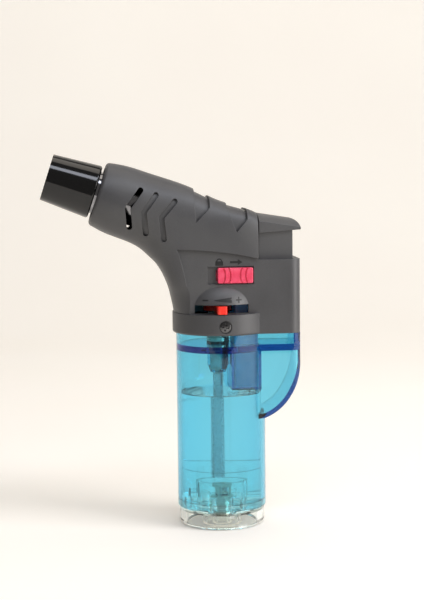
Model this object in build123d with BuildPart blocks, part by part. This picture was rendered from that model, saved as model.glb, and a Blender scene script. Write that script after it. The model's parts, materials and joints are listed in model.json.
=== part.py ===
from build123d import *
import os
from math import atan2, cos, degrees, hypot, pi, radians, sin, tan

os.makedirs("parts", exist_ok=True)

# Pistol-shaped refillable butane torch, in millimetres. The origin is the centre of the foot's
# underside, +Z is up along the tank's axis, the nozzle points to -X and the controls face -Y.

# Tank
tank_radius = 17.5
tank_wall = 1.6
tank_height = 68.9          # from the foot up to the housing's lower edge
ceiling_drop = 4.5          # from the housing's lower edge down to the tank's ceiling
ceiling_thickness = 2.6
skirt_height = 6.2          # tank wall standing up inside the housing
fin_reach = 30.6            # rear face of the tank's fin
fin_half_width = 11.2
fin_corner = 3.6

# Base with the filling valve
foot_height = 7.6
foot_radius = 16.8
foot_floor = 2.2
foot_wall = 2.8
foot_rounding = 2.0
plug_height = 15.2          # ring that stands inside the tank
plug_wall = 1.2
seat_height = 2.3           # thicker root of the ring, let into the tank's wall
seat_step = 0.75
well_radius = 7.6           # round wall under the foot
well_wall = 1.6
baffle_height = 9.8         # round wall about the filling valve, over the floor
baffle_wall = 1.0
web_count = 8
web_height = 4.2
port_radius = 2.15          # hole for a gas can's nozzle
port_depth = 5.2
boss_radius = 3.9           # boss that holds the filling valve
boss_rise = 3.3
refill_radius = 2.7
refill_stem_radius = 1.0

# Housing
wall = 1.8
parting_gap = 0.06
collar_radius = 18.9
collar_height = 8.1
column_half_width = 12.9
column_rear = 30.3
column_corner = 4.0
shelf_height = 28.8         # trigger shelf above the housing's lower edge
seam_x = 13.6               # rear end of the neck, in front of the trigger
front_rounding = 1.6
chevron_width = 2.1
groove_depth = 0.8
notch_depth = 0.95

# Nozzle: the axis leans up and forward from the guard's rear centre
nozzle_x = -48.5
nozzle_rise = 55.2          # above the housing's lower edge
nozzle_lean = 18.2          # degrees above level
barrel_start = 1.0          # housing's front face behind the guard
guard_length = 19.4
guard_front_radius = 9.2
guard_rear_radius = 10.55
guard_wall = 0.9
sleeve_radius = 8.4
sleeve_wall = 0.6
burner_radius = 3.55
electrode_offset = 6.0      # spark wire above the burner's axis

# Fuel valve
valve_x = -1.1
valve_body_radius = 3.2
valve_boss_wall = 1.0
stem_radius = 1.3
stem_collar_radius = 2.9
hose_radius = 1.3
hose_bore = 0.9
dip_radius = 2.0
dip_bore = 1.2
dip_clearance = 2.6         # from the filling valve up to the dip tube

# Piezo igniter
piezo_front = 4.6
piezo_length = 9.2
piezo_width = 13.8
piezo_drop = 17.0           # below the tank's ceiling
piezo_height = 29.0
plunger_height = 24.0
pocket_wall = 1.0
hammer_travel = 3.0

# Controls
stem_half_width = 9.2
cap_half_width = 10.2
cap_crown = 46.5            # top of the trigger above the housing's lower edge
cap_slope = 9.0             # degrees down to the rear
cap_arch = 2.9              # rise of the trigger's top over its sides
stem_front = 14.3
stem_rear = 27.5
stem_wall = 1.6
lever_pivot_x = 2.0
pin_radius = 0.8
pin_half_length = 10.5
pivot_boss_end = 9.3        # inner face of the shells' pivot bosses
pivot_boss_radius = 1.7
lever_reach = 20.0          # pivot to the trigger's legs
flow_arm_reach = 19.0
flow_arm_width = 3.7
flow_slot_height = 3.6
flow_slot_half_width = 10.4
flow_slot_x = -0.82
hood_radius = 16.6          # hood over the flow slot
hood_height = 7.5
lock_length = 13.7
lock_height = 6.0
lock_front = -2.3
lock_travel = 3.5
lock_stand = 1.1            # button's face above the panel
lock_drop = 8.9             # button's lower edge below the trigger shelf
lock_recess = 0.8
lock_gap = 0.4              # around the button in its recess
shank_length = 7.0          # neck of the button through the shell
shank_height = 3.6
groove_bow = 6.0            # radius of the button's bowed grooves

running = 0.1               # radial clearance of pins and stems
fit = 0.05                  # clearance of parts pushed together
slack = 0.25                # clearance of loose sliding fits
screw_head_radius = 2.1
screw_radius = 1.1

# Levels worked out from the sizes above
tank_bottom = foot_height
housing_bottom = tank_bottom + tank_height
ceiling_bottom = housing_bottom - ceiling_drop - ceiling_thickness
ceiling_top = housing_bottom - ceiling_drop
skirt_top = housing_bottom + skirt_height
collar_top = housing_bottom + collar_height
shelf_top = housing_bottom + shelf_height
slot_top = collar_top + flow_slot_height
flow_bottom = collar_top + 0.3
flow_top = slot_top - 0.3
lever_z = flow_top + 2.0
nozzle_z = housing_bottom + nozzle_rise
boss_top = foot_height + boss_rise
flange_top = boss_top + 0.8
cage_top = flange_top + 3.4
refill_top = cage_top + 1.2
dip_bottom = refill_top + dip_clearance
piezo_bottom = ceiling_top - piezo_drop
piezo_top = piezo_bottom + piezo_height
plunger_top = piezo_top + plunger_height - 10.0
piezo_x = piezo_front + piezo_length / 2
lock_z = shelf_top - lock_drop
screw_z = housing_bottom + 3.5
screw_seat = collar_radius - 0.65
hood_crown = (12.2, slot_top + hood_height)

lean = radians(nozzle_lean)
along_x, along_z = cos(lean), -sin(lean)    # along the nozzle's axis, towards the rear
up_x, up_z = sin(lean), cos(lean)           # across it, upwards
nozzle_plane = Plane(origin=(nozzle_x, 0, nozzle_z), x_dir=(0, 1, 0), z_dir=(along_x, 0, along_z))
low = (Align.CENTER, Align.CENTER, Align.MIN)


def nozzle_point(distance, rise=0.0):
    """Place in the XZ plane at a distance behind the guard's rear and a rise off the axis."""
    x = nozzle_x + distance * along_x + rise * up_x
    z = nozzle_z + distance * along_z + rise * up_z
    return (x, z)


def raised(points):
    """Points (x, height over the housing's lower edge) as (x, z)."""
    return [(x, housing_bottom + height) for x, height in points]


# Neck stations: lower edge, upper edge, half width and squareness (2 is an ellipse). The barrel's
# stations stand square to the nozzle's axis, and the rest fan round the throat to the collar.
neck_stations = [
    (nozzle_point(barrel_start, -12.7), nozzle_point(barrel_start, 12.4), 12.5, 2.0),
    (nozzle_point(5, -13.5), nozzle_point(5, 13.0), 13.3, 2.0),
    (nozzle_point(12, -14.3), nozzle_point(12, 13.5), 13.7, 2.0),
    (nozzle_point(20, -14.9), nozzle_point(20, 13.4), 13.8, 2.1),
    (*raised([(-29.4, 31.4), (-16.1, 58.6)]), 13.9, 2.5),
    (*raised([(-26.2, 28.3), (-6.0, 54.1)]), 14.0, 3.1),
    (*raised([(-23.3, 24.4), (4.0, 50.1)]), 14.1, 3.8),
    (*raised([(-21.2, 20.3), (14.0, 46.5)]), 14.1, 4.6),
    (*raised([(-20.0, 16.7), (24.0, 33.5)]), 14.2, 4.0),
    (*raised([(-19.4, 13.5), (23.0, 19.5)]), 15.2, 2.8),
    (*raised([(-18.7, 3.0), (18.7, 3.0)]), 18.7, 2.0),
]


def neck_solid(inset):
    """Neck and barrel as one smooth solid, drawn in by inset on every side."""
    with BuildPart() as neck:
        for lower, upper, half_width, squareness in neck_stations:
            rise = (upper[0] - lower[0], upper[1] - lower[1])
            length = hypot(*rise)
            half_length = length / 2 - inset
            across = half_width - inset
            centre = ((lower[0] + upper[0]) / 2, 0, (lower[1] + upper[1]) / 2)
            normal = (rise[1] / length, 0, -rise[0] / length)
            power = 2 / squareness
            outline = []
            for step in range(20):
                c, s = cos(step * pi / 10), sin(step * pi / 10)
                x = across * abs(c) ** power * (1 if c >= 0 else -1)
                y = half_length * abs(s) ** power * (1 if s >= 0 else -1)
                outline.append((x, y))
            with BuildSketch(Plane(origin=centre, x_dir=(0, 1, 0), z_dir=normal)):
                with BuildLine():
                    Spline(*outline, periodic=True)
                make_face()
        loft()
    return neck.part


def prism(outline, y_near, y_far):
    """Solid between two planes square to Y, from an outline of (x, z) points."""
    with BuildPart() as block:
        with BuildSketch(Plane.XZ.offset(-y_near)):
            with BuildLine():
                Polyline(*outline, close=True)
            make_face()
        extrude(amount=-(y_far - y_near))
    return block.part


def cord_radii(points):
    """Largest even bend at each corner of a cord's route."""
    radii = []
    for before, corner, after in zip(points, points[1:], points[2:]):
        run_in = Vector(*corner) - Vector(*before)
        run_out = Vector(*after) - Vector(*corner)
        turn = radians(run_in.get_angle(run_out))
        radii.append(0.45 * min(run_in.length, run_out.length) / tan(turn / 2))
    return radii


def cord(points, radius, bore=0.0):
    """Round cord or hose along straight runs joined by arcs."""
    radii = cord_radii(points)
    print("bend radii", [round(r, 1) for r in radii])
    with BuildPart() as run:
        with BuildLine() as route:
            FilletPolyline(*points, radius=radii)
        path = route.wire()
        with BuildSketch(Plane(origin=path @ 0, z_dir=path % 0)):
            Circle(radius)
            if bore:
                Circle(bore, mode=Mode.SUBTRACT)
        sweep()
    section = pi * (radius ** 2 - bore ** 2)
    print("swept volume", round(run.part.volume, 2), "expected", round(section * path.length, 2))
    return run.part


def coil(x, bottom, height, radius, wire, turns):
    """Helical spring standing on a level."""
    with BuildPart() as spring:
        with BuildLine(Plane(origin=(x, 0, bottom + wire))) as route:
            Helix(pitch=(height - 2 * wire) / turns, height=height - 2 * wire, radius=radius)
        path = route.wire()
        with BuildSketch(Plane(origin=path @ 0, z_dir=path % 0)):
            Circle(wire)
        sweep(is_frenet=True)
    return spring.part


def save(builder, name):
    """Label a finished piece and write it as its own file."""
    piece = builder.part if isinstance(builder, BuildPart) else builder
    piece.label = name
    export_step(piece, f"parts/{name}.step")
    print(name, round(piece.volume, 1))


# ---- Housing: one hollow form, split along its middle into two shells ----
beyond = 60.0               # clear of the housing behind and above


def space_behind(x, floor):
    """Outline of everything behind x and over a floor."""
    return [(x, floor), (beyond, floor), (beyond, floor + beyond), (x, floor + beyond)]


chevrons = [
    raised([(-31.4, 56.0), (-36.4, 49.3), (-35.8, 42.0)]),
    raised([(-25.6, 54.1), (-30.4, 47.7), (-29.6, 39.5)]),
    raised([(-18.4, 51.6), (-23.7, 45.5), (-22.8, 37.2)]),
]
notches = [
    raised([(-10.4, 63.5), (-10.8, 49.6), (-10.4, 43.4), (-5.0, 48.9), (-4.3, 63.5)]),
    raised([(1.8, 63.5), (1.8, 49.4), (4.0, 42.3), (5.2, 39.5), (9.5, 44.4), (9.9, 63.5)]),
]


def chevron_solid(route, reach):
    """Bent slot with round ends, driven through the neck's sides."""
    with BuildPart() as slot:
        with BuildSketch(Plane.XZ):
            for (x1, z1), (x2, z2) in zip(route, route[1:]):
                angle = degrees(atan2(z2 - z1, x2 - x1))
                with Locations(((x1 + x2) / 2, (z1 + z2) / 2)):
                    SlotCenterToCenter(hypot(x2 - x1, z2 - z1), chevron_width, rotation=angle)
        extrude(amount=reach, both=True)
    return slot.part


with BuildPart() as neck_outer:
    add(neck_solid(0.0))
    fillet(edges().sort_by(Axis.X)[0], front_rounding)

with BuildPart() as collar:
    with Locations((0, 0, housing_bottom)):
        Cylinder(collar_radius, collar_height, align=low)
    fillet(edges().group_by(Axis.Z)[0], 0.9)

# The side panels are cut flat, below a line that falls to the trigger and behind the neck's front
panel_front = raised([(-13.4, collar_height), (-14.5, 20.0), (-17.9, 33.2)])
panel_top = raised([(-17.9, 33.2), (-1.5, 32.0), (seam_x, shelf_height + 0.5)])
with BuildPart() as panel_cuts:
    with BuildSketch(Plane.XZ):
        with BuildLine():
            ThreePointArc(*panel_front)
            ThreePointArc(*panel_top)
            Polyline(panel_top[2], (beyond, panel_top[2][1]), (beyond, collar_top), panel_front[0])
        make_face()
    extrude(amount=beyond, both=True)
    Box(4 * beyond, 2 * column_half_width, 6 * beyond, mode=Mode.SUBTRACT)

column_middle = (column_rear - 10.0) / 2
with BuildPart() as housing:
    add(neck_outer.part)
    add(collar.part)
    with BuildSketch(Plane.XY.offset(housing_bottom)):
        with Locations((column_middle, 0)):
            Rectangle(column_rear + 10.0, 2 * column_half_width)
        rear = vertices().group_by(Axis.X)[-1]
        fillet(rear, column_corner)
    extrude(amount=shelf_height)
    add(panel_cuts.part, mode=Mode.SUBTRACT)
    with BuildSketch(Plane(origin=(flow_slot_x, 0, 0), x_dir=(1, 0, 0), z_dir=(0, -1, 0))):
        with BuildLine():
            Line((0, slot_top), (hood_radius, slot_top))
            ThreePointArc((hood_radius, slot_top), (hood_radius - 1.0, slot_top + 3.2), hood_crown)
            Line(hood_crown, (0, hood_crown[1]))
            Line((0, hood_crown[1]), (0, slot_top))
        make_face()
    revolve(axis=Axis((flow_slot_x, 0, 0), (0, 0, 1)), revolution_arc=-180)
    add(prism(space_behind(seam_x, shelf_top), -40, 40), mode=Mode.SUBTRACT)

with BuildPart() as cavity:
    add(neck_solid(wall))
    with Locations((0, 0, collar_top)):
        Box(300, 2 * (column_half_width - wall), 300, mode=Mode.INTERSECT)
    with BuildSketch(Plane.XY.offset(housing_bottom - 1.0)):
        with Locations((column_middle, 0)):
            Rectangle(column_rear + 10.0 - 2 * wall, 2 * (column_half_width - wall))
        rear = vertices().group_by(Axis.X)[-1]
        fillet(rear, column_corner - wall)
    extrude(amount=shelf_height)
    with Locations((0, 0, housing_bottom - 1.0)):
        Cylinder(tank_radius + slack, skirt_height + 1.5, align=low)
    add(prism(space_behind(seam_x - wall, shelf_top - wall), -40, 40), mode=Mode.SUBTRACT)

# Cuts that follow the surface: only the skin above an inset neck is taken away
with BuildPart() as groove_cuts:
    for route in chevrons[1:]:
        add(chevron_solid(route, 30))
    add(neck_solid(groove_depth), mode=Mode.SUBTRACT)

with BuildPart() as notch_cuts:
    for outline in notches:
        add(prism(outline, -30, 30))
    add(neck_solid(notch_depth), mode=Mode.SUBTRACT)

with BuildPart() as window_cuts:
    add(chevron_solid(chevrons[0], 30))
    with Locations((flow_slot_x, -column_half_width, (collar_top + 0.2 + slot_top) / 2)):
        Box(2 * flow_slot_half_width, 6.0, slot_top - collar_top - 0.2)
    with Locations((lock_front - lock_travel / 2 + lock_length / 2, -column_half_width, lock_z + lock_height / 2)):
        Box(lock_length + lock_travel + 2 * lock_gap, 2 * lock_recess, lock_height + 2 * lock_gap)
        Box(shank_length + lock_travel + 2 * lock_gap, 3 * wall, shank_height + 2 * lock_gap)
    with Locations((stem_front - slack, 0, shelf_top - wall - 1.0)):
        Box(
            stem_rear - stem_front + 2 * slack,
            2 * (stem_half_width + slack),
            wall + 2.0,
            align=(Align.MIN, Align.CENTER, Align.MIN),
        )
    for side in (-1, 1):
        with Locations(Location((0, side * collar_radius, screw_z), (90 * side, 0, 0))):
            Cylinder(screw_head_radius + 0.4, 2 * (collar_radius - screw_seat))
            Cylinder(screw_radius + running, 6.0)

with BuildPart(nozzle_plane) as mouth_cut:
    Cylinder(sleeve_radius + running, 40.0)

with BuildPart() as shell_form:
    add(housing.part)
    add(cavity.part, mode=Mode.SUBTRACT)
    for side in (-1, 1):
        with Locations((lever_pivot_x, side * (column_half_width + pivot_boss_end) / 2, lever_z)):
            Cylinder(pivot_boss_radius, column_half_width - pivot_boss_end, rotation=(90, 0, 0))
    for cut in (groove_cuts, notch_cuts, window_cuts, mouth_cut):
        add(cut.part, mode=Mode.SUBTRACT)
    with Locations((lever_pivot_x, 0, lever_z)):
        Cylinder(pin_radius + running / 2, 2 * (pin_half_length + running), rotation=(90, 0, 0), mode=Mode.SUBTRACT)

for side, name in ((-1, "left_shell"), (1, "right_shell")):
    with BuildPart() as shell:
        add(shell_form.part)
        with Locations((0, -side * (100 - parting_gap / 2), 100)):
            Box(300, 200, 300, mode=Mode.SUBTRACT)
    save(shell, name)

# Trigger: a thumb cap, rounded at its rear and arched across, on a hollow stem
cap_back = raised([(stem_front, cap_crown), (27.2, 44.4), (30.6, 40.1), (stem_front, 38.9)])
slope = radians(cap_slope)
crown_plane = Plane(
    origin=(stem_front, 0, housing_bottom + cap_crown),
    x_dir=(0, 1, 0),
    z_dir=(cos(slope), 0, -sin(slope)),
)
stem_bottom = shelf_top - 7.3
stem_middle = (stem_front + stem_rear) / 2
leg_foot = lever_z + 1.2
with BuildPart() as trigger:
    with BuildSketch(Plane.XZ):
        with BuildLine():
            Line(cap_back[0], cap_back[1])
            ThreePointArc(cap_back[1], (29.8, housing_bottom + 42.9), cap_back[2])
            Polyline(cap_back[2], cap_back[3], cap_back[0])
        make_face()
    extrude(amount=cap_half_width, both=True)
    with BuildSketch(crown_plane):
        with BuildLine():
            ThreePointArc((-cap_half_width, -cap_arch), (0, 0), (cap_half_width, -cap_arch))
            Polyline(
                (cap_half_width, -cap_arch),
                (cap_half_width, -20.0),
                (-cap_half_width, -20.0),
                (-cap_half_width, -cap_arch),
            )
        make_face()
    extrude(amount=beyond, both=True, mode=Mode.INTERSECT)
    with Locations((stem_middle, 0, stem_bottom)):
        Box(stem_rear - stem_front, 2 * stem_half_width, 19.0, align=low)
        Box(
            stem_rear - stem_front - 2 * stem_wall,
            2 * (stem_half_width - stem_wall),
            14.0,
            align=low,
            mode=Mode.SUBTRACT,
        )
    with Locations((piezo_x - 3.8, 0, plunger_top + 0.2)):
        Box(stem_front - piezo_x + 5.4, 11.0, 4.0, align=(Align.MIN, Align.CENTER, Align.MIN))
    for side in (-1, 1):
        with Locations((lever_pivot_x + lever_reach, side * (stem_half_width - 0.8), leg_foot + 1.0)):
            Box(2.0, 1.6, stem_bottom - leg_foot, align=low)
            Cylinder(1.0, 1.6, rotation=(90, 0, 0))
save(trigger, "trigger")

# ---- Tank: skirt, ceiling, fin, valve boss and a pocket for the igniter ----
fin_top = housing_bottom - running
fin_front = 5.0             # buried in the tank
fin_bends = raised([(fin_reach, -10.0), (25.2, -26.5), (16.0, -33.4), (fin_front, -34.4)])


def fin_solid(inset):
    """Gusset behind the tank, drawn in by inset."""
    with BuildPart() as gusset:
        with BuildSketch(Plane.XZ) as face:
            with BuildLine():
                bend = TangentArc(fin_bends[0], fin_bends[1], tangent=(0, -1))
                TangentArc(bend @ 1, fin_bends[2], tangent=bend % 1)
                Polyline(fin_bends[2], fin_bends[3], (fin_front, fin_top), (fin_reach, fin_top), fin_bends[0])
            make_face()
            if inset:
                offset(amount=-inset, kind=Kind.INTERSECTION)
        extrude(amount=fin_half_width - inset, both=True)
        with BuildSketch(Plane.XY.offset(tank_bottom)):
            with Locations((fin_reach - inset, 0)):
                RectangleRounded(
                    2 * beyond,
                    2 * (fin_half_width - inset),
                    fin_corner - inset,
                    align=(Align.MAX, Align.CENTER),
                )
        extrude(amount=tank_height, mode=Mode.INTERSECT)
    return gusset.part


valve_boss_radius = valve_body_radius + valve_boss_wall
web_front = valve_x + dip_radius + 0.2      # web between the valve's boss and the pocket
pocket_length = piezo_length + 2 * slack + 2 * pocket_wall
pocket_width = piezo_width + 2 * slack + 2 * pocket_wall
pocket_height = ceiling_top - piezo_bottom + pocket_wall

with BuildPart() as fin_space:
    add(fin_solid(tank_wall))
    with Locations((0, 0, ceiling_bottom)):
        Box(90, 90, 40, align=low, mode=Mode.SUBTRACT)

with BuildPart() as tank:
    with Locations((0, 0, tank_bottom)):
        Cylinder(tank_radius, skirt_top - tank_bottom, align=low)
    add(fin_solid(0.0))
    with BuildSketch(Plane.XY.offset(fin_top - 3.0)):
        Rectangle(2 * (column_rear - wall - slack), 2 * (column_half_width - wall - slack))
        fillet(vertices(), column_corner - wall - slack)
        with Locations((-beyond, 0)):
            Rectangle(2 * beyond, 2 * beyond, mode=Mode.SUBTRACT)
    extrude(amount=5.6)
    with Locations((0, 0, tank_bottom)):
        Cylinder(tank_radius - tank_wall, ceiling_bottom - tank_bottom, align=low, mode=Mode.SUBTRACT)
        Cylinder(tank_radius - tank_wall + seat_step, seat_height, align=low, mode=Mode.SUBTRACT)
    add(fin_space.part, mode=Mode.SUBTRACT)
    with Locations((0, 0, ceiling_top)):
        Cylinder(tank_radius - tank_wall, 20.0, align=low, mode=Mode.SUBTRACT)
        with Locations((10.0, 0, 0)):
            Box(17.6, 19.0, 20.0, align=(Align.MIN, Align.CENTER, Align.MIN), mode=Mode.SUBTRACT)
    with Locations((valve_x, 0, ceiling_bottom - 6.0)):
        Cylinder(valve_boss_radius, 7.0, align=low)
    with Locations((valve_x, 0, ceiling_bottom - 9.0)):
        Cone(dip_radius + 1.0, valve_boss_radius, 3.2, align=low)
    with BuildSketch(Plane.XZ):
        with Locations((web_front, piezo_bottom - pocket_wall)):
            Rectangle(
                piezo_front - web_front,
                ceiling_top - piezo_bottom,
                align=(Align.MIN, Align.MIN),
            )
        fillet(vertices().sort_by(Axis.X)[:2].sort_by(Axis.Y)[0], 3.0)
    extrude(amount=1.0, both=True)
    with Locations((piezo_x, 0, piezo_bottom - pocket_wall)):
        Box(pocket_length, pocket_width, pocket_height, align=low)
    with Locations((piezo_x, 0, piezo_bottom)):
        Box(
            piezo_length + 2 * slack,
            piezo_width + 2 * slack,
            pocket_height + 1.0,
            align=low,
            mode=Mode.SUBTRACT,
        )
    with Locations((valve_x, 0, ceiling_bottom - 8.0)):
        Cylinder(valve_body_radius, 20.0, align=low, mode=Mode.SUBTRACT)
        Cylinder(1.5, 4.0, mode=Mode.SUBTRACT)
    for side in (-1, 1):
        with Locations((0, side * (tank_radius - 3.6), screw_z)):
            Cylinder(screw_radius + 1.3, 6.0, rotation=(90, 0, 0))
    with Locations((0, 0, screw_z)):
        Cylinder(screw_radius + running, 60.0, rotation=(90, 0, 0), mode=Mode.SUBTRACT)
save(tank, "tank")

ring_radius = tank_radius - tank_wall - fit
ring_inner = ring_radius - plug_wall
with BuildPart() as base_plug:
    Cylinder(foot_radius, foot_height, align=low)
    fillet(edges().group_by(Axis.Z)[0], foot_rounding)
    Cylinder(foot_radius - foot_wall, foot_height - foot_floor, align=low, mode=Mode.SUBTRACT)
    Cylinder(well_radius, foot_height, align=low)
    Cylinder(well_radius - well_wall, foot_height - foot_floor, align=low, mode=Mode.SUBTRACT)
    with Locations((0, 0, foot_height)):
        Cylinder(ring_radius + seat_step, seat_height, align=low)
        Cylinder(ring_radius, plug_height, align=low)
        Cylinder(ring_inner, plug_height, align=low, mode=Mode.SUBTRACT)
        Cylinder(well_radius, baffle_height, align=low)
        Cylinder(well_radius - baffle_wall, baffle_height, align=low, mode=Mode.SUBTRACT)
    with PolarLocations((well_radius + ring_inner) / 2, web_count, start_angle=180 / web_count):
        with Locations((0, 0, foot_height)):
            Box(ring_inner - well_radius + 1.0, 1.0, web_height, align=low)
    with PolarLocations(well_radius - baffle_wall / 2, web_count // 2):
        with Locations((0, 0, boss_top)):
            Box(2 * baffle_wall, 2.0, baffle_height, align=low, mode=Mode.SUBTRACT)
    Cylinder(boss_radius, boss_top, align=low)
    Cylinder(port_radius, foot_height, align=low, mode=Mode.SUBTRACT)
    with Locations((0, 0, port_depth)):
        Cylinder(refill_radius + fit, boss_top, align=low, mode=Mode.SUBTRACT)
save(base_plug, "base_plug")

# ---- Filling valve in the foot: a ribbed body, a cage with the seal and spring, and its stem ----
with BuildPart() as refill_valve_body:
    with Locations((0, 0, port_depth)):
        Cylinder(refill_radius, flange_top - port_depth, align=low)
    for step in range(5):
        with Locations((0, 0, port_depth + 0.7 + 1.0 * step)):
            Cylinder(refill_radius + 1.0, 0.4, align=low, mode=Mode.SUBTRACT)
            Cylinder(refill_radius - 0.35, 0.4, align=low)
    with Locations((0, 0, boss_top)):
        Cylinder(3.4, flange_top - boss_top, align=low)
    with Locations((0, 0, cage_top)):
        Cylinder(2.9, refill_top - cage_top, align=low)
    with PolarLocations(2.35, 3):
        with Locations((0, 0, flange_top)):
            Box(0.7, 0.9, cage_top - flange_top, align=low)
    Cylinder(refill_stem_radius + running, 40.0, align=low, mode=Mode.SUBTRACT)
save(refill_valve_body, "refill_valve_body")

seal_height = 0.6
stem_collar_height = 0.7
with BuildPart() as refill_stem:
    with Locations((0, 0, port_depth + 0.2)):
        Cylinder(refill_stem_radius, refill_top - port_depth - 0.4, align=low)
    with Locations((0, 0, flange_top + seal_height)):
        Cylinder(1.85, stem_collar_height, align=low)
save(refill_stem, "refill_stem")

with BuildPart() as refill_valve_seal:
    with Locations((0, 0, flange_top)):
        Cylinder(1.85, seal_height, align=low)
        Cylinder(refill_stem_radius + running, seal_height, align=low, mode=Mode.SUBTRACT)
save(refill_valve_seal, "refill_valve_seal")
spring_bottom = flange_top + seal_height + stem_collar_height
save(coil(0, spring_bottom, cage_top - spring_bottom, 1.45, 0.12, 3), "refill_spring")

# ---- Outlet valve, flow control and dip tube ----
regulator_bottom = ceiling_top + 6.3
with BuildPart() as outlet_valve_body:
    with Locations((valve_x, 0, ceiling_bottom - 7.9)):
        Cylinder(valve_body_radius - 0.02, regulator_bottom - 0.2 - ceiling_bottom + 7.9, align=low)
    with Locations((valve_x, 0, ceiling_bottom - 9.8)):
        Cylinder(1.15, 2.0, align=low)
    with Locations((valve_x, 0, ceiling_top + 0.8)):
        Cylinder(4.4, 1.4, align=low)
    with Locations((valve_x, 0, ceiling_bottom - 4.0)):
        Cylinder(stem_radius + running, 40.0, align=low, mode=Mode.SUBTRACT)
    with Locations((valve_x, 0, ceiling_bottom - 12.0)):
        Cylinder(0.6, 10.0, align=low, mode=Mode.SUBTRACT)
save(outlet_valve_body, "outlet_valve_body")

with BuildPart() as outlet_valve_seal:
    with Locations((valve_x, 0, ceiling_top)):
        Cylinder(4.4, 0.8, align=low)
        Cylinder(valve_body_radius, 0.8, align=low, mode=Mode.SUBTRACT)
save(outlet_valve_seal, "outlet_valve_seal")

with BuildPart() as dip_tube:
    with Locations((valve_x, 0, dip_bottom)):
        Cylinder(dip_radius, ceiling_bottom - 9.1 - dip_bottom, align=low)
        Cylinder(dip_bore, ceiling_bottom, align=low, mode=Mode.SUBTRACT)
save(dip_tube, "dip_tube")

with BuildPart() as flow_regulator:
    with Locations((valve_x, 0, regulator_bottom)):
        Cylinder(3.8, flow_top - regulator_bottom, align=low)
        Cylinder(stem_radius + running, 40.0, mode=Mode.SUBTRACT)
        with PolarLocations(3.85, 16):
            Box(0.5, 0.5, 20.0, mode=Mode.SUBTRACT)
save(flow_regulator, "flow_regulator")

with BuildPart() as flow_lever:
    with Locations((valve_x, 0, flow_bottom)):
        Cylinder(5.5, flow_top - flow_bottom, align=low)
        with Locations((0, -flow_arm_reach, 0)):
            Box(flow_arm_width, flow_arm_reach, flow_top - flow_bottom, align=(Align.CENTER, Align.MIN, Align.MIN))
    tip = edges().filter_by(Axis.Z).group_by(Axis.Y)[0]
    fillet(tip, 0.8)
    with Locations((valve_x, 0, flow_bottom)):
        Cylinder(3.85, 20.0, mode=Mode.SUBTRACT)
save(flow_lever, "flow_lever")

with BuildPart() as valve_stem:
    with Locations((valve_x, 0, ceiling_bottom - 3.0)):
        Cylinder(stem_radius, lever_z + 4.5 - ceiling_bottom + 3.0, align=low)
    with Locations((valve_x, 0, lever_z + 1.6)):
        Cylinder(stem_collar_radius, 1.0, align=low)
    with Locations((valve_x, 0, lever_z + 4.5)):
        Cylinder(hose_bore - running, 4.2, align=low)
save(valve_stem, "valve_stem")

with BuildPart() as valve_lever:
    with Locations((lever_pivot_x, 0, lever_z)):
        Cylinder(1.35, 2 * (stem_half_width - 0.2), rotation=(90, 0, 0))
    for side in (-1, 1):
        with Locations((lever_pivot_x, side * (stem_half_width - 0.8), lever_z)):
            Box(lever_reach + 1.4, 1.2, 1.2, align=(Align.MIN, Align.CENTER, Align.CENTER))
        with Locations((valve_x - 0.5, side * 2.4, lever_z - 0.5)):
            Box(lever_pivot_x - valve_x + 0.5, 1.4, 1.6, align=(Align.MIN, Align.CENTER, Align.MIN))
    with Locations((lever_pivot_x, 0, lever_z)):
        Cylinder(pin_radius + running / 2, 40.0, rotation=(90, 0, 0), mode=Mode.SUBTRACT)
save(valve_lever, "valve_lever")

with BuildPart() as lever_pin:
    with Locations((lever_pivot_x, 0, lever_z)):
        Cylinder(pin_radius, 2 * pin_half_length, rotation=(90, 0, 0))
save(lever_pin, "lever_pin")

# ---- Piezo igniter ----
element_top = piezo_bottom + 8.0
hammer_bottom = element_top + hammer_travel + 0.4
plunger_bottom = piezo_top - 10.0
with BuildPart() as piezo_body:
    with Locations((piezo_x, 0, piezo_bottom)):
        Box(piezo_length, piezo_width, piezo_height, align=low)
    fillet(edges().filter_by(Axis.Z), 0.8)
    with Locations((piezo_x, 0, piezo_bottom + 0.8)):
        Cylinder(3.3, 20.0, align=low, mode=Mode.SUBTRACT)
    with Locations((piezo_x, 0, element_top + 1.0)):
        Box(piezo_length - 1.2, piezo_width - 1.6, 40.0, align=low, mode=Mode.SUBTRACT)
    with Locations((piezo_x, piezo_width / 2 - 0.6, ceiling_top + 2.0)):
        Box(2.4, 4.6, 3.0, align=(Align.CENTER, Align.MIN, Align.MIN))
save(piezo_body, "piezo_body")

with BuildPart() as piezo_element:
    with Locations((piezo_x, 0, piezo_bottom + 0.8)):
        Cylinder(3.2, element_top - piezo_bottom - 0.8, align=low)
save(piezo_element, "piezo_element")

with BuildPart() as piezo_hammer:
    with Locations((piezo_x, 0, hammer_bottom)):
        Cylinder(2.6, 5.6, align=low)
    chamfer(edges().group_by(Axis.Z)[0], 0.5)
save(piezo_hammer, "piezo_hammer")

with BuildPart() as piezo_plunger:
    with Locations((piezo_x, 0, plunger_bottom)):
        Box(piezo_length - 1.6, piezo_width - 2.0, plunger_top - plunger_bottom, align=low)
    fillet(edges().filter_by(Axis.Z), 0.6)
    with Locations((piezo_x, 0, plunger_bottom)):
        Cylinder(3.0, plunger_top - plunger_bottom - 4.0, align=low, mode=Mode.SUBTRACT)
save(piezo_plunger, "piezo_plunger")
hammer_top = hammer_bottom + 5.6
save(coil(piezo_x, hammer_top, plunger_top - 4.0 - hammer_top, 2.3, 0.25, 9), "hammer_spring")
save(coil(piezo_x, element_top + 1.0, plunger_bottom - element_top - 1.0, 3.35, 0.22, 5), "return_spring")

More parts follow.
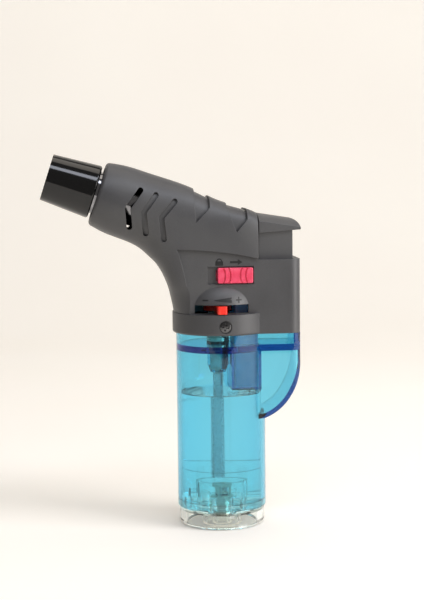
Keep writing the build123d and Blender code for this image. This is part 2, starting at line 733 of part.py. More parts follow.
# ---- Lock button ----
lock_face = -column_half_width - lock_stand
lock_middle = (lock_front + lock_length / 2, lock_z + lock_height / 2)
outward = (Align.CENTER, Align.MIN, Align.CENTER)
with BuildPart() as lock_button:
    with Locations((lock_middle[0], lock_face, lock_middle[1])):
        Box(lock_length, lock_stand + lock_recess - running, lock_height, align=outward)
        fillet(edges().filter_by(Axis.Y), 0.6)
        fillet(edges().group_by(Axis.Y)[0], 0.35)
        Box(shank_length, lock_stand + wall + running, shank_height, align=outward)
    for along, bow in ((2.9, 1), (5.0, 1), (8.7, -1), (10.8, -1)):
        with BuildSketch(Plane(origin=(0, lock_face, 0), x_dir=(1, 0, 0), z_dir=(0, -1, 0))):
            with Locations((lock_front + along - bow * groove_bow, lock_middle[1])):
                Circle(groove_bow + 0.3)
                Circle(groove_bow - 0.3, mode=Mode.SUBTRACT)
                with Locations((-bow * groove_bow, 0)):
                    Rectangle(2 * groove_bow, 4 * groove_bow, mode=Mode.SUBTRACT)
        extrude(amount=-0.5, mode=Mode.SUBTRACT)
save(lock_button, "lock_button")

with BuildPart() as lock_retainer:
    with Locations((lock_middle[0], -column_half_width + wall + running, lock_middle[1])):
        Box(lock_length + 1.4, 1.0, lock_height + 1.6, align=outward)
save(lock_retainer, "lock_retainer")

# ---- Screws through the collar, one on each side ----
with BuildPart() as collar_screws:
    for side in (-1, 1):
        with Locations(Location((0, side * screw_seat, screw_z), (-90 * side, 0, 0))):
            Cylinder(screw_head_radius, 0.55, align=low)
            Cylinder(screw_radius, 6.0, align=(Align.CENTER, Align.CENTER, Align.MAX))
        with Locations(Location((0, side * (screw_seat + 0.55), screw_z), (0, 12, 0))):
            Box(2.8, 0.9, 0.55, mode=Mode.SUBTRACT)
            Box(0.55, 0.9, 2.8, mode=Mode.SUBTRACT)
save(collar_screws, "collar_screws")

# ---- Nozzle: every piece is round about the nozzle's axis ----
with BuildPart(nozzle_plane) as nozzle_guard:
    with Locations((0, 0, -guard_length)):
        Cone(guard_front_radius, guard_rear_radius, guard_length, align=low)
    fillet(edges().filter_by(GeomType.CIRCLE).sort_by(SortBy.RADIUS)[-1], 0.8)
    with Locations((0, 0, -guard_length)):
        Cone(
            guard_front_radius - guard_wall,
            guard_rear_radius - guard_wall,
            guard_length - 2.0,
            align=low,
            mode=Mode.SUBTRACT,
        )
    Cylinder(sleeve_radius + 0.05, 10.0, mode=Mode.SUBTRACT)
save(nozzle_guard, "nozzle_guard")

sleeve_front, sleeve_rear = -15.0, 18.0
with BuildPart(nozzle_plane) as heat_sleeve:
    with Locations((0, 0, sleeve_front)):
        Cylinder(sleeve_radius, sleeve_rear - sleeve_front, align=low)
    with Locations((0, 0, barrel_start + wall + 0.1)):
        Cylinder(10.2, 1.2, align=low)
    with Locations((0, 0, sleeve_front)):
        Cylinder(sleeve_radius - sleeve_wall, 60.0, align=low, mode=Mode.SUBTRACT)
save(heat_sleeve, "heat_sleeve")

with BuildPart(nozzle_plane) as burner_tube:
    with Locations((0, 0, -12.0)):
        Cylinder(burner_radius, 20.0, align=low)
        Cylinder(burner_radius - 0.5, 20.0, align=low, mode=Mode.SUBTRACT)
save(burner_tube, "burner_tube")

with BuildPart(nozzle_plane) as burner_head:
    with Locations((0, 0, -13.6)):
        Cylinder(4.6, 4.0, align=low)
        with PolarLocations(2.4, 6):
            Cylinder(0.55, 4.0, align=low, mode=Mode.SUBTRACT)
        Cylinder(0.8, 4.0, align=low, mode=Mode.SUBTRACT)
    with Locations((0, 0, -12.0)):
        Cylinder(burner_radius + 0.05, 10.0, align=low, mode=Mode.SUBTRACT)
save(burner_head, "burner_head")

with BuildPart(nozzle_plane) as mixer_tube:
    with Locations((0, 0, 6.0)):
        Cylinder(4.2, 14.0, align=low)
        Cylinder(burner_radius + 0.05, 14.0, align=low, mode=Mode.SUBTRACT)
    for turn in (0, 90):
        with Locations(Location((0, 0, 14.0), (90, 0, turn))):
            Cylinder(1.2, 20.0, mode=Mode.SUBTRACT)
save(mixer_tube, "mixer_tube")

with BuildPart(nozzle_plane) as jet_block:
    with Locations((0, 0, 17.0)):
        Cylinder(burner_radius - 0.02, 3.2, align=low)
    with Locations((0, 0, 20.1)):
        Cylinder(4.4, 3.9, align=low)
    with Locations((0, 0, 23.0)):
        Cylinder(hose_bore - 0.03, 5.0, align=low)
    Cylinder(0.4, 80.0, mode=Mode.SUBTRACT)
save(jet_block, "jet_block")

with BuildPart(nozzle_plane) as jet_orifice:
    with Locations((0, 0, 16.0)):
        Cylinder(1.4, 1.0, align=low)
        Cylinder(0.2, 1.0, align=low, mode=Mode.SUBTRACT)
save(jet_orifice, "jet_orifice")

with BuildPart(nozzle_plane) as electrode_insulator:
    with Locations((0, electrode_offset, -6.0)):
        Cylinder(1.2, 22.0, align=low)
        Cylinder(0.4, 22.0, align=low, mode=Mode.SUBTRACT)
save(electrode_insulator, "electrode_insulator")

with BuildPart() as spark_electrode:
    with BuildLine() as wire_route:
        FilletPolyline(
            (*nozzle_point(15.8, electrode_offset)[:1], 0, nozzle_point(15.8, electrode_offset)[1]),
            (nozzle_point(-14.6, electrode_offset)[0], 0, nozzle_point(-14.6, electrode_offset)[1]),
            (nozzle_point(-14.6, 2.4)[0], 0, nozzle_point(-14.6, 2.4)[1]),
            radius=1.0,
        )
    with BuildSketch(Plane(origin=wire_route.line @ 0, z_dir=wire_route.line % 0)):
        Circle(0.35)
    sweep()
save(spark_electrode, "spark_electrode")

hose_turn = (valve_x, 0, nozzle_z + (valve_x - nozzle_x) * tan(-lean))
hose_end = nozzle_point(24.1)
hose_start = (valve_x, 0, lever_z + 5.7)      # over the stem's shoulder, by its lift and a little
save(cord([hose_start, hose_turn, (hose_end[0], 0, hose_end[1])], hose_radius, hose_bore), "gas_hose")

wire_end = nozzle_point(16.2, electrode_offset)
wire_points = [
    (piezo_x, 9.9, ceiling_top + 5.0),
    (piezo_x, 9.9, housing_bottom + 21.5),
    (2.5, 9.9, housing_bottom + 35.5),
    (-8.0, 7.0, housing_bottom + 45.0),
    (-20.0, 2.0, housing_bottom + 51.7),
    (wire_end[0], 0, wire_end[1]),
]
save(cord(wire_points, 0.65), "ignition_wire")
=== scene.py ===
import json
import math

import bmesh
import bpy
from mathutils import Matrix, Vector


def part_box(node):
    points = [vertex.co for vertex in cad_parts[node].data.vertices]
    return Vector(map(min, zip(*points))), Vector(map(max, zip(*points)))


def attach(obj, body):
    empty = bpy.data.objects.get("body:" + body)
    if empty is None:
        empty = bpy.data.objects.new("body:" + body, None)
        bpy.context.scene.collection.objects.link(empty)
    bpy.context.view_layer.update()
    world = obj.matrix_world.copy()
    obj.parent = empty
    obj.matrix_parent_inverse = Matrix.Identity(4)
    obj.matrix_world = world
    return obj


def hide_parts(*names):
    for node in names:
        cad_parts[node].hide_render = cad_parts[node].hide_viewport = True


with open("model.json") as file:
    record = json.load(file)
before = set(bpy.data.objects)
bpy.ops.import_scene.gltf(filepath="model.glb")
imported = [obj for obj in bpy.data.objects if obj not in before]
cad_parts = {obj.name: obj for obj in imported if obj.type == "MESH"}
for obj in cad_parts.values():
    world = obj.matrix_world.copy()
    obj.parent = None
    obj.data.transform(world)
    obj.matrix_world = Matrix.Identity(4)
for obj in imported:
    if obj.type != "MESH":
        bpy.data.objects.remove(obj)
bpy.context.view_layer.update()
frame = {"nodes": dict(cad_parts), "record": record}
nodes = frame["nodes"]
mm = 0.001


# Small helpers

def hexToLinear(code):
    channels = [int(code[i:i + 2], 16) / 255 for i in (1, 3, 5)]
    return [c / 12.92 if c <= 0.04045 else ((c + 0.055) / 1.055) ** 2.4 for c in channels] + [1.0]


def addNode(tree, kind, inputs=None, stops=None, **settings):
    # inputs go to sockets by name or number; stops are a colour ramp's (place, hex) pairs
    node = tree.nodes.new(kind)
    for name, value in settings.items():
        setattr(node, name, value)
    for name, value in (inputs or {}).items():
        if isinstance(value, bpy.types.NodeSocket):
            tree.links.new(value, node.inputs[name])
        else:
            node.inputs[name].default_value = value
    if stops:
        points = node.color_ramp.elements
        while len(points) < len(stops):
            points.new(0.5)
        for point, (position, code) in zip(points, stops):
            point.position = position
            point.color = hexToLinear(code)
    return node


def newMaterial(name, **surface):
    material = bpy.data.materials.new(name)
    material.use_nodes = True
    tree = material.node_tree
    shader = tree.nodes["Principled BSDF"]
    for socket, value in surface.items():
        shader.inputs[socket.replace("_", " ")].default_value = value
    place = addNode(tree, "ShaderNodeTexCoord").outputs["Object"]
    return material, tree, shader, place


def finishPiece(shape, name, material, smooth=True):
    mesh = bpy.data.meshes.new(name)
    shape.to_mesh(mesh)
    shape.free()
    mesh.materials.append(material)
    if smooth:
        mesh.shade_smooth()
        mesh.set_sharp_from_angle(angle=math.radians(35))
    piece = bpy.data.objects.new(name, mesh)
    bpy.context.scene.collection.objects.link(piece)
    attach(piece, "body")
    return piece


# Materials. Sizes in them are metres, from the real size of each mark

def mouldedAbs(name, colours, roughness=(0.40, 0.50)):
    # Spark-eroded ABS: an even dull grain, drawn coarser than its real 0.08 mm, and soft moulded edges
    material, tree, shader, place = newMaterial(name, IOR=1.53, Specular_IOR_Level=0.55)
    grain = addNode(tree, "ShaderNodeTexNoise",
                    {"Vector": place, "Scale": 1 / 0.00022, "Detail": 3.0, "Roughness": 0.6}).outputs["Fac"]
    flow = addNode(tree, "ShaderNodeTexNoise",
                   {"Vector": place, "Scale": 1 / 0.02, "Detail": 2.0, "Roughness": 0.5}).outputs["Fac"]
    colour = addNode(tree, "ShaderNodeValToRGB", {"Fac": flow},
                     stops=[(0.35, colours[0]), (0.5, colours[1]), (0.65, colours[2])])
    speckle = addNode(tree, "ShaderNodeValToRGB", {"Fac": grain}, stops=[(0.3, "#e4e4e4"), (0.6, "#ffffff")])
    mixed = addNode(tree, "ShaderNodeMix", {0: 1.0, 6: colour.outputs["Color"], 7: speckle.outputs["Color"]},
                    data_type="RGBA", blend_type="MULTIPLY")
    tree.links.new(mixed.outputs[2], shader.inputs["Base Color"])
    dull = addNode(tree, "ShaderNodeMapRange", {"Value": flow, "From Min": 0.35, "From Max": 0.65,
                                                "To Min": roughness[0], "To Max": roughness[1]})
    tree.links.new(dull.outputs["Result"], shader.inputs["Roughness"])
    soft = addNode(tree, "ShaderNodeBevel", {"Radius": 0.00028}, samples=4)
    bump = addNode(tree, "ShaderNodeBump",
                   {"Height": grain, "Distance": 0.00003, "Strength": 0.6, "Normal": soft.outputs["Normal"]})
    tree.links.new(bump.outputs["Normal"], shader.inputs["Normal"])
    return material


def blackLacquer():
    # Black enamel baked on steel: mirror-like bands, a little orange peel and dust
    material, tree, shader, place = newMaterial("blackLacquer", IOR=1.52)
    peel = addNode(tree, "ShaderNodeTexNoise",
                   {"Vector": place, "Scale": 1 / 0.0018, "Detail": 2.0, "Roughness": 0.5}).outputs["Fac"]
    dust = addNode(tree, "ShaderNodeTexNoise",
                   {"Vector": place, "Scale": 1 / 0.0004, "Detail": 4.0, "Roughness": 0.8}).outputs["Fac"]
    colour = addNode(tree, "ShaderNodeValToRGB", {"Fac": dust},
                     stops=[(0.45, "#070707"), (0.7, "#0b0b0c"), (0.88, "#202020")])
    tree.links.new(colour.outputs["Color"], shader.inputs["Base Color"])
    dull = addNode(tree, "ShaderNodeMapRange",
                   {"Value": dust, "From Min": 0.4, "From Max": 0.8, "To Min": 0.07, "To Max": 0.16})
    tree.links.new(dull.outputs["Result"], shader.inputs["Roughness"])
    bump = addNode(tree, "ShaderNodeBump", {"Height": peel, "Distance": 0.000003, "Strength": 1.0})
    tree.links.new(bump.outputs["Normal"], shader.inputs["Normal"])
    return material


def clearStyrene(name, tint, depthColour, density):
    # Clear moulded styrene: coloured by its thickness, so it is deepest where the eye looks along a wall
    material, tree, shader, place = newMaterial(name, IOR=1.49, Transmission_Weight=1.0)
    shader.inputs["Base Color"].default_value = hexToLinear(tint)
    flow = addNode(tree, "ShaderNodeTexNoise",
                   {"Vector": place, "Scale": 1 / 0.009, "Detail": 1.0, "Roughness": 0.4}).outputs["Fac"]
    dull = addNode(tree, "ShaderNodeMapRange",
                   {"Value": flow, "From Min": 0.3, "From Max": 0.7, "To Min": 0.0, "To Max": 0.02})
    tree.links.new(dull.outputs["Result"], shader.inputs["Roughness"])
    bump = addNode(tree, "ShaderNodeBump", {"Height": flow, "Distance": 0.00001, "Strength": 1.0})
    tree.links.new(bump.outputs["Normal"], shader.inputs["Normal"])
    absorb = addNode(tree, "ShaderNodeVolumeAbsorption", {"Color": depthColour, "Density": density})
    tree.links.new(absorb.outputs["Volume"], tree.nodes["Material Output"].inputs["Volume"])
    return material


def liquidButane():
    # Liquid butane: as clear as water, bends light a little less
    material, tree, shader, place = newMaterial("liquidButane", IOR=1.33, Transmission_Weight=1.0)
    shader.inputs["Base Color"].default_value = hexToLinear("#f6fdff")
    ripple = addNode(tree, "ShaderNodeTexNoise",
                     {"Vector": place, "Scale": 1 / 0.02, "Detail": 1.0, "Roughness": 0.4}).outputs["Fac"]
    dull = addNode(tree, "ShaderNodeMapRange",
                   {"Value": ripple, "From Min": 0.3, "From Max": 0.7, "To Min": 0.0, "To Max": 0.01})
    tree.links.new(dull.outputs["Result"], shader.inputs["Roughness"])
    return material


def softPlastic(name, colours, roughness, scatter=0.0, clear=0.0):
    # Plain injection-moulded plastic, coloured through, slightly uneven in the thick parts
    material, tree, shader, place = newMaterial(name, IOR=1.46, Subsurface_Weight=scatter, Transmission_Weight=clear)
    shader.inputs["Subsurface Radius"].default_value = (1.0, 0.3, 0.25)
    shader.inputs["Subsurface Scale"].default_value = 0.0012
    cloud = addNode(tree, "ShaderNodeTexNoise",
                    {"Vector": place, "Scale": 1 / 0.003, "Detail": 3.0, "Roughness": 0.6}).outputs["Fac"]
    fine = addNode(tree, "ShaderNodeTexNoise",
                   {"Vector": place, "Scale": 1 / 0.0004, "Detail": 3.0, "Roughness": 0.7}).outputs["Fac"]
    colour = addNode(tree, "ShaderNodeValToRGB", {"Fac": cloud},
                     stops=[(0.3, colours[0]), (0.5, colours[1]), (0.7, colours[2])])
    tree.links.new(colour.outputs["Color"], shader.inputs["Base Color"])
    dull = addNode(tree, "ShaderNodeMapRange", {"Value": fine, "From Min": 0.3, "From Max": 0.7,
                                                "To Min": roughness - 0.05, "To Max": roughness + 0.08})
    tree.links.new(dull.outputs["Result"], shader.inputs["Roughness"])
    bump = addNode(tree, "ShaderNodeBump", {"Height": fine, "Distance": 0.00001, "Strength": 1.0})
    tree.links.new(bump.outputs["Normal"], shader.inputs["Normal"])
    return material


def metal(name, colours, roughness, grain=0.0004, stretch=(1, 1, 1)):
    # Turned or drawn metal: fine marks along one way, a little staining
    material, tree, shader, place = newMaterial(name, Metallic=1.0)
    drawn = addNode(tree, "ShaderNodeMapping", {"Vector": place, "Scale": stretch}).outputs["Vector"]
    marks = addNode(tree, "ShaderNodeTexNoise",
                    {"Vector": drawn, "Scale": 1 / grain, "Detail": 4.0, "Roughness": 0.7}).outputs["Fac"]
    stain = addNode(tree, "ShaderNodeTexNoise",
                    {"Vector": place, "Scale": 1 / 0.004, "Detail": 3.0, "Roughness": 0.6}).outputs["Fac"]
    colour = addNode(tree, "ShaderNodeValToRGB", {"Fac": stain},
                     stops=[(0.3, colours[0]), (0.55, colours[1]), (0.75, colours[2])])
    tree.links.new(colour.outputs["Color"], shader.inputs["Base Color"])
    dull = addNode(tree, "ShaderNodeMapRange", {"Value": marks, "From Min": 0.3, "From Max": 0.7,
                                                "To Min": roughness * 0.7, "To Max": roughness * 1.4})
    tree.links.new(dull.outputs["Result"], shader.inputs["Roughness"])
    bump = addNode(tree, "ShaderNodeBump", {"Height": marks, "Distance": 0.000006, "Strength": 1.0})
    tree.links.new(bump.outputs["Normal"], shader.inputs["Normal"])
    return material


print("materials")
housingAbs = mouldedAbs("housingAbs", ("#434345", "#474749", "#4b4b4c"))
triggerAbs = mouldedAbs("triggerAbs", ("#49494b", "#4d4d4f", "#515152"), (0.38, 0.46))
guardLacquer = blackLacquer()
tankStyrene = clearStyrene("tankStyrene", "#ecf9fd", (0.0, 0.76, 0.90, 1.0), 500)
baseStyrene = clearStyrene("baseStyrene", "#fdfffe", (0.75, 0.92, 0.90, 1.0), 30)
fuelLiquid = liquidButane()
buttonPink = softPlastic("buttonPink", ("#e0405e", "#e64c6a", "#ec5c78"), 0.34, 0.1)
leverRed = softPlastic("leverRed", ("#ee2a1c", "#f7382a", "#fb5444"), 0.32, 0.1)
igniterAcetal = softPlastic("igniterAcetal", ("#86c4f6", "#93ccfa", "#a4d6ff"), 0.4)
dipPlastic = softPlastic("dipPlastic", ("#e4f0f3", "#edf6f8", "#f6fbfc"), 0.25, clear=0.85)
sealRubber = softPlastic("sealRubber", ("#0c0c0c", "#141414", "#1d1d1d"), 0.6)
hosePvc = softPlastic("hosePvc", ("#cfcfc6", "#dadad2", "#e6e6df"), 0.3, 0.3)
wireSleeve = softPlastic("wireSleeve", ("#1a1a1a", "#242424", "#303030"), 0.5)
firedCeramic = softPlastic("firedCeramic", ("#dedad0", "#e9e6de", "#f3f1ec"), 0.55)
markPaint = softPlastic("markPaint", ("#161617", "#1b1b1c", "#222223"), 0.5)
platedBrass = metal("platedBrass", ("#a8a496", "#c4c0b0", "#dcd8ca"), 0.28, 0.0003, (1, 1, 6))
heatedBrass = metal("heatedBrass", ("#6e5a3a", "#a8874c", "#c4a566"), 0.35)
blackenedSleeve = metal("blackenedSleeve", ("#77777a", "#8c8c8f", "#a4a4a7"), 0.1, 0.0006, (4, 1, 1))
springSteel = metal("springSteel", ("#77777a", "#98989b", "#b4b4b7"), 0.3)
blackScrew = metal("blackScrew", ("#4a4a4b", "#6c6c6d", "#8e8e90"), 0.2)

finishOf = {
    "housing": housingAbs, "trigger": triggerAbs, "tank": tankStyrene, "base": baseStyrene,
    "valve_metal": platedBrass, "burner_brass": heatedBrass, "seal_rubber": sealRubber,
    "spring_steel": springSteel, "dip_tube": dipPlastic, "lever_red": leverRed, "button_red": buttonPink,
    "igniter_plastic": igniterAcetal, "ceramic": firedCeramic, "screw_black": blackScrew,
    "guard_black": guardLacquer, "sleeve_steel": blackenedSleeve, "hose_clear": hosePvc,
    "wire_cover": wireSleeve,
}
for part in frame["record"]["subparts"]:
    mesh = nodes[part["node"]].data
    mesh.materials.clear()
    mesh.materials.append(finishOf[part["material_slot"]])


# Fuel: stands in the tank and in the foot's ring, and creeps up the wall at its edge

print("fuel")
fuel = {"floor": 6.6, "radius": 15.78, "level": 52.4, "creep": 0.6, "around": 128}


def makeFuel():
    profile = [(0.0, fuel["floor"]), (fuel["radius"], fuel["floor"]),
               (fuel["radius"], fuel["level"] + fuel["creep"]),
               (fuel["radius"] - 0.3, fuel["level"] + 0.35 * fuel["creep"]),
               (fuel["radius"] - 1.1, fuel["level"] + 0.06), (fuel["radius"] - 2.5, fuel["level"]),
               (0.0, fuel["level"])]
    shape = bmesh.new()
    line = [shape.verts.new((r * mm, 0, z * mm)) for r, z in profile]
    edges = [shape.edges.new(pair) for pair in zip(line, line[1:])]
    bmesh.ops.spin(shape, geom=line + edges, cent=(0, 0, 0), axis=(0, 0, 1), angle=math.tau,
                   steps=fuel["around"], use_duplicate=False)
    bmesh.ops.remove_doubles(shape, verts=shape.verts, dist=1e-6)
    bmesh.ops.recalc_face_normals(shape, faces=shape.faces)
    finishPiece(shape, "fuel", fuelLiquid)


makeFuel()


# Screws: a domed head with a cross recess, repeated on both sides of the collar

print("screws")
screw = {"headRadius": 2.1, "shankRadius": 1.05, "shank": 5.9, "rim": 0.3, "dome": 0.35, "crossHalf": 0.36,
         "crossReach": 1.5, "crossDepth": 0.7, "seat": 18.25, "rings": 36, "around": 144, "turn": 12.0}


def makeScrewHead():
    shape = bmesh.new()
    rings = []
    for i in range(1, screw["rings"] + 1):
        r = screw["headRadius"] * i / screw["rings"]
        ring = []
        for k in range(screw["around"]):
            a = math.tau * k / screw["around"]
            x, z = r * math.cos(a), r * math.sin(a)
            rise = screw["rim"] + screw["dome"] * (1 - (r / screw["headRadius"]) ** 2)
            arm = min(abs(x), abs(z))
            if arm < screw["crossHalf"] and r < screw["crossReach"]:
                edge = min(1.0, (screw["crossHalf"] - arm) / 0.1, (screw["crossReach"] - r) / 0.2)
                rise -= screw["crossDepth"] * edge
            ring.append(shape.verts.new((x * mm, -rise * mm, z * mm)))
        rings.append(ring)
    centre = shape.verts.new((0, -(screw["rim"] + screw["dome"] - screw["crossDepth"]) * mm, 0))
    for r, y in ((screw["headRadius"], 0.0), (screw["shankRadius"], 0.02), (screw["shankRadius"], screw["shank"])):
        rings.append([shape.verts.new((r * math.cos(math.tau * k / screw["around"]) * mm, y * mm,
                                       r * math.sin(math.tau * k / screw["around"]) * mm))
                      for k in range(screw["around"])])
    tail = shape.verts.new((0, screw["shank"] * mm, 0))
    for k in range(screw["around"]):
        after = (k + 1) % screw["around"]
        shape.faces.new((centre, rings[0][k], rings[0][after]))
        for a, b in zip(rings, rings[1:]):
            shape.faces.new((a[k], b[k], b[after], a[after]))
        shape.faces.new((tail, rings[-1][after], rings[-1][k]))
    bmesh.ops.rotate(shape, verts=shape.verts, cent=(0, 0, 0),
                     matrix=Matrix.Rotation(math.radians(screw["turn"]), 3, "Y"))
    bmesh.ops.recalc_face_normals(shape, faces=shape.faces)
    mesh = bpy.data.meshes.new("screwHead")
    shape.to_mesh(mesh)
    shape.free()
    return bpy.data.objects.new("collarScrewHeads", mesh)


def makeScrewPattern():
    tree = bpy.data.node_groups.new("screwPattern", "GeometryNodeTree")
    tree.interface.new_socket("Geometry", in_out="INPUT", socket_type="NodeSocketGeometry")
    for name, kind in (("Count", "NodeSocketInt"), ("Seat", "NodeSocketFloat"), ("Height", "NodeSocketFloat"),
                       ("Material", "NodeSocketMaterial")):
        tree.interface.new_socket(name, in_out="INPUT", socket_type=kind)
    tree.interface.new_socket("Geometry", in_out="OUTPUT", socket_type="NodeSocketGeometry")
    given = addNode(tree, "NodeGroupInput")
    front = addNode(tree, "ShaderNodeMath", {0: given.outputs["Seat"], 1: -1.0}, operation="MULTIPLY")
    start = addNode(tree, "ShaderNodeCombineXYZ", {"Y": front.outputs[0], "Z": given.outputs["Height"]})
    spread = addNode(tree, "ShaderNodeMath", {0: given.outputs["Seat"], 1: 2.0}, operation="MULTIPLY")
    step = addNode(tree, "ShaderNodeCombineXYZ", {"Y": spread.outputs[0]})
    places = addNode(tree, "GeometryNodeMeshLine", {"Count": given.outputs["Count"],
                                                    "Start Location": start.outputs[0],
                                                    "Offset": step.outputs[0]})
    index = addNode(tree, "GeometryNodeInputIndex")
    half = addNode(tree, "ShaderNodeMath", {0: index.outputs[0], 1: math.pi}, operation="MULTIPLY")
    turn = addNode(tree, "ShaderNodeCombineXYZ", {"Z": half.outputs[0]})
    copies = addNode(tree, "GeometryNodeInstanceOnPoints", {"Points": places.outputs["Mesh"],
                                                            "Instance": given.outputs["Geometry"],
                                                            "Rotation": turn.outputs[0]})
    real = addNode(tree, "GeometryNodeRealizeInstances", {"Geometry": copies.outputs["Instances"]})
    painted = addNode(tree, "GeometryNodeSetMaterial", {"Geometry": real.outputs["Geometry"],
                                                        "Material": given.outputs["Material"]})
    addNode(tree, "NodeGroupOutput", {"Geometry": painted.outputs["Geometry"]})
    return tree


def placeScrews():
    piece = makeScrewHead()
    bpy.context.scene.collection.objects.link(piece)
    pattern = makeScrewPattern()
    modifier = piece.modifiers.new("screws", "NODES")
    modifier.node_group = pattern
    low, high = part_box("collar_screws")
    values = {"Count": 2, "Seat": screw["seat"] * mm, "Height": (low[2] + high[2]) / 2, "Material": blackScrew}
    for item in pattern.interface.items_tree:
        if item.item_type == "SOCKET" and item.in_out == "INPUT" and item.name in values:
            modifier[item.identifier] = values[item.name]
    seen = bpy.context.evaluated_depsgraph_get()
    mesh = bpy.data.meshes.new_from_object(piece.evaluated_get(seen))
    piece.modifiers.remove(modifier)
    piece.data = mesh
    mesh.shade_smooth()
    mesh.set_sharp_from_angle(angle=math.radians(50))
    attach(piece, "body")
    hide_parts("collar_screws")


placeScrews()


# Marks: a padlock and an arrow over the lock button, minus, wedge and plus over the flow slot

print("marks")
marks = {"panelY": -12.9, "lift": 0.05, "lockX": -1.6, "lockZ": 104.5, "hoodX": -0.82, "signZ": 90.1,
         "hood": [(87.9, 16.62), (89.6, 16.35), (91.4, 15.6), (93.5, 14.2)]}


def hoodDepth(x, z):
    (z1, r1), (z2, r2) = next(((a, b) for a, b in zip(marks["hood"], marks["hood"][1:]) if z <= b[0]))
    radius = r1 + (r2 - r1) * (z - z1) / (z2 - z1)
    return -math.sqrt(radius ** 2 - (x - marks["hoodX"]) ** 2)


def panelDepth(x, z):
    return marks["panelY"]


def addStroke(shape, route, depthAt):
    # route holds (x, z, half width) along the stroke, which lies on the surface that depthAt gives
    fine = []
    for (x1, z1, w1), (x2, z2, w2) in zip(route, route[1:]):
        fine += [(x1 + (x2 - x1) * t / 6, z1 + (z2 - z1) * t / 6, w1 + (w2 - w1) * t / 6) for t in range(6)]
    fine.append(route[-1])
    rows = []
    for i, (x, z, w) in enumerate(fine):
        before, after = fine[max(i - 1, 0)], fine[min(i + 1, len(fine) - 1)]
        run = Vector((after[0] - before[0], after[1] - before[1])).normalized()
        row = []
        for side in (-1, 1):
            px, pz = x - side * w * run.y, z + side * w * run.x
            row.append((px, depthAt(px, pz), pz))
        rows.append(row)
    outer = [[shape.verts.new((x * mm, (y - marks["lift"]) * mm, z * mm)) for x, y, z in row] for row in rows]
    inner = [[shape.verts.new((x * mm, (y + marks["lift"]) * mm, z * mm)) for x, y, z in row] for row in rows]
    for a, b, c, d in zip(outer, outer[1:], inner, inner[1:]):
        shape.faces.new((a[0], a[1], b[1], b[0]))
        shape.faces.new((c[0], d[0], d[1], c[1]))
        shape.faces.new((a[0], b[0], d[0], c[0]))
        shape.faces.new((a[1], c[1], d[1], b[1]))
    shape.faces.new((outer[0][0], inner[0][0], inner[0][1], outer[0][1]))
    shape.faces.new((outer[-1][0], outer[-1][1], inner[-1][1], inner[-1][0]))


def makeMarks():
    shape = bmesh.new()
    x, z = marks["lockX"], marks["lockZ"]
    addStroke(shape, [(x - 1.5, z - 0.45, 0.85), (x + 1.5, z - 0.45, 0.85)], panelDepth)
    shackle = [(x + 0.95 * math.cos(a), z + 0.35 + 0.95 * math.sin(a), 0.22)
               for a in (math.pi * k / 8 for k in range(9))]
    addStroke(shape, shackle, panelDepth)
    addStroke(shape, [(x + 4.2, z, 0.42), (x + 7.2, z, 0.42)], panelDepth)
    addStroke(shape, [(x + 7.2, z, 1.1), (x + 8.9, z, 0.05)], panelDepth)
    s = marks["signZ"]
    addStroke(shape, [(-8.3, s, 0.25), (-6.2, s, 0.25)], hoodDepth)
    addStroke(shape, [(4.5, s, 0.25), (6.8, s, 0.25)], hoodDepth)
    addStroke(shape, [(5.65, s - 1.15, 0.25), (5.65, s + 1.15, 0.25)], hoodDepth)
    addStroke(shape, [(-3.9, s, 0.15), (2.8, s, 1.05)], hoodDepth)
    bmesh.ops.recalc_face_normals(shape, faces=shape.faces)
    finishPiece(shape, "controlMarks", markPaint, smooth=False)


makeMarks()


# Camera, lights and floor

print("camera and lights")
bpy.context.scene.view_settings.view_transform = "Standard"
bpy.context.scene.cycles.max_bounces = 40    # the fuel, foot and tank stand inside each other
bpy.context.scene.cycles.transmission_bounces = 40


def placeCamera():
    view = {"at": (-60.0, -561.8, 145.0), "ahead": (0.10006, 0.99003, -0.09912), "roll": 0.010, "lens": 86.4}
    ahead = Vector(view["ahead"]).normalized()
    right = ahead.cross(Vector((0, 0, 1))).normalized()
    up = right.cross(ahead)
    c, s = math.cos(view["roll"]), math.sin(view["roll"])
    rolledRight, rolledUp = c * right - s * up, c * up + s * right
    turn = Matrix((rolledRight, rolledUp, -ahead)).transposed().to_4x4()
    camera = bpy.data.objects.new("camera", bpy.data.cameras.new("camera"))
    bpy.context.scene.collection.objects.link(camera)
    camera.matrix_world = Matrix.Translation(Vector(view["at"]) * mm) @ turn
    camera.data.lens = view["lens"]
    camera.data.clip_start = 0.01
    bpy.context.scene.camera = camera


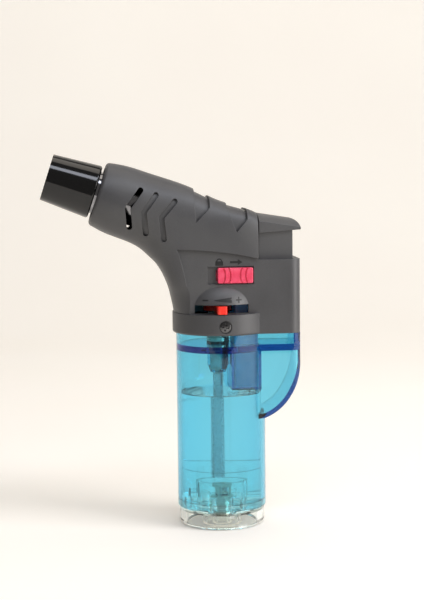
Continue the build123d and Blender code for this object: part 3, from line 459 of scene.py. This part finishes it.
def placeLights():
    # position, size and aim in metres; power in watts
    lights = {
        "frontWindow": ((0.22, -0.50, 1.00), (1.3, 0.22), (-0.04, 0.0, 0.12), 6.0, "#eef3ff"),
        "overheadSoft": ((0.1, 0.25, 1.10), (1.0, 0.5), (0.0, 0.0, 0.05), 2.5, "#fff6ea"),
        "rightSoft": ((0.75, -0.45, 0.35), (0.5, 0.6), (0.0, 0.0, 0.08), 7.5, "#fdfaf8"),
    }
    for name, (at, size, aim, power, colour) in lights.items():
        lamp = bpy.data.lights.new(name, "AREA")
        lamp.shape = "RECTANGLE"
        lamp.size, lamp.size_y = size
        lamp.energy = power
        lamp.color = hexToLinear(colour)[:3]
        holder = bpy.data.objects.new(name, lamp)
        holder.location = at
        holder.rotation_euler = (Vector(aim) - Vector(at)).to_track_quat("-Z", "Y").to_euler()
        bpy.context.scene.collection.objects.link(holder)
    # The studio is dim to a glossy surface, and pale where it is seen directly or through the tank
    world = bpy.data.worlds.new("studio")
    world.use_nodes = True
    tree = world.node_tree
    ray = addNode(tree, "ShaderNodeLightPath")
    seen = addNode(tree, "ShaderNodeMath", {0: ray.outputs["Is Camera Ray"], 1: ray.outputs["Is Transmission Ray"]},
                   operation="MAXIMUM")
    strength = addNode(tree, "ShaderNodeMapRange", {"Value": seen.outputs[0], "To Min": 0.2, "To Max": 0.86})
    tree.nodes["Background"].inputs["Color"].default_value = hexToLinear("#fff9f4")
    tree.links.new(strength.outputs["Result"], tree.nodes["Background"].inputs["Strength"])
    bpy.context.scene.world = world


def placeFloor():
    # A lit sheet of matt card that sweeps up behind; front, bend, top and half width in metres
    sweep = {"front": -0.5, "bend": 0.55, "radius": 0.45, "top": 1.3, "half": 1.6, "steps": 14, "glow": 0.26}
    profile = [(sweep["front"], 0.0)]
    for i in range(sweep["steps"] + 1):
        a = math.pi / 2 * i / sweep["steps"]
        profile.append((sweep["bend"] + sweep["radius"] * math.sin(a), sweep["radius"] * (1 - math.cos(a))))
    profile.append((sweep["bend"] + sweep["radius"], sweep["top"]))
    shape = bmesh.new()
    rows = [[shape.verts.new((x, y, z)) for x in (-sweep["half"], sweep["half"])] for y, z in profile]
    for a, b in zip(rows, rows[1:]):
        shape.faces.new((a[0], a[1], b[1], b[0]))
    mesh = bpy.data.meshes.new("paperSweep")
    shape.to_mesh(mesh)
    shape.free()
    mesh.shade_smooth()
    material, tree, shader, place = newMaterial("mattCard", Roughness=0.85, Specular_IOR_Level=0.1)
    fibre = addNode(tree, "ShaderNodeTexNoise",
                    {"Vector": place, "Scale": 1 / 0.25, "Detail": 2.0, "Roughness": 0.5}).outputs["Fac"]
    colour = addNode(tree, "ShaderNodeValToRGB", {"Fac": fibre}, stops=[(0.3, "#f0ebe3"), (0.7, "#f3efe7")])
    tree.links.new(colour.outputs["Color"], shader.inputs["Base Color"])
    tree.links.new(colour.outputs["Color"], shader.inputs["Emission Color"])
    shader.inputs["Emission Strength"].default_value = sweep["glow"]
    mesh.materials.append(material)
    floor = bpy.data.objects.new("paperSweep", mesh)
    bpy.context.scene.collection.objects.link(floor)


placeCamera()
placeLights()
placeFloor()
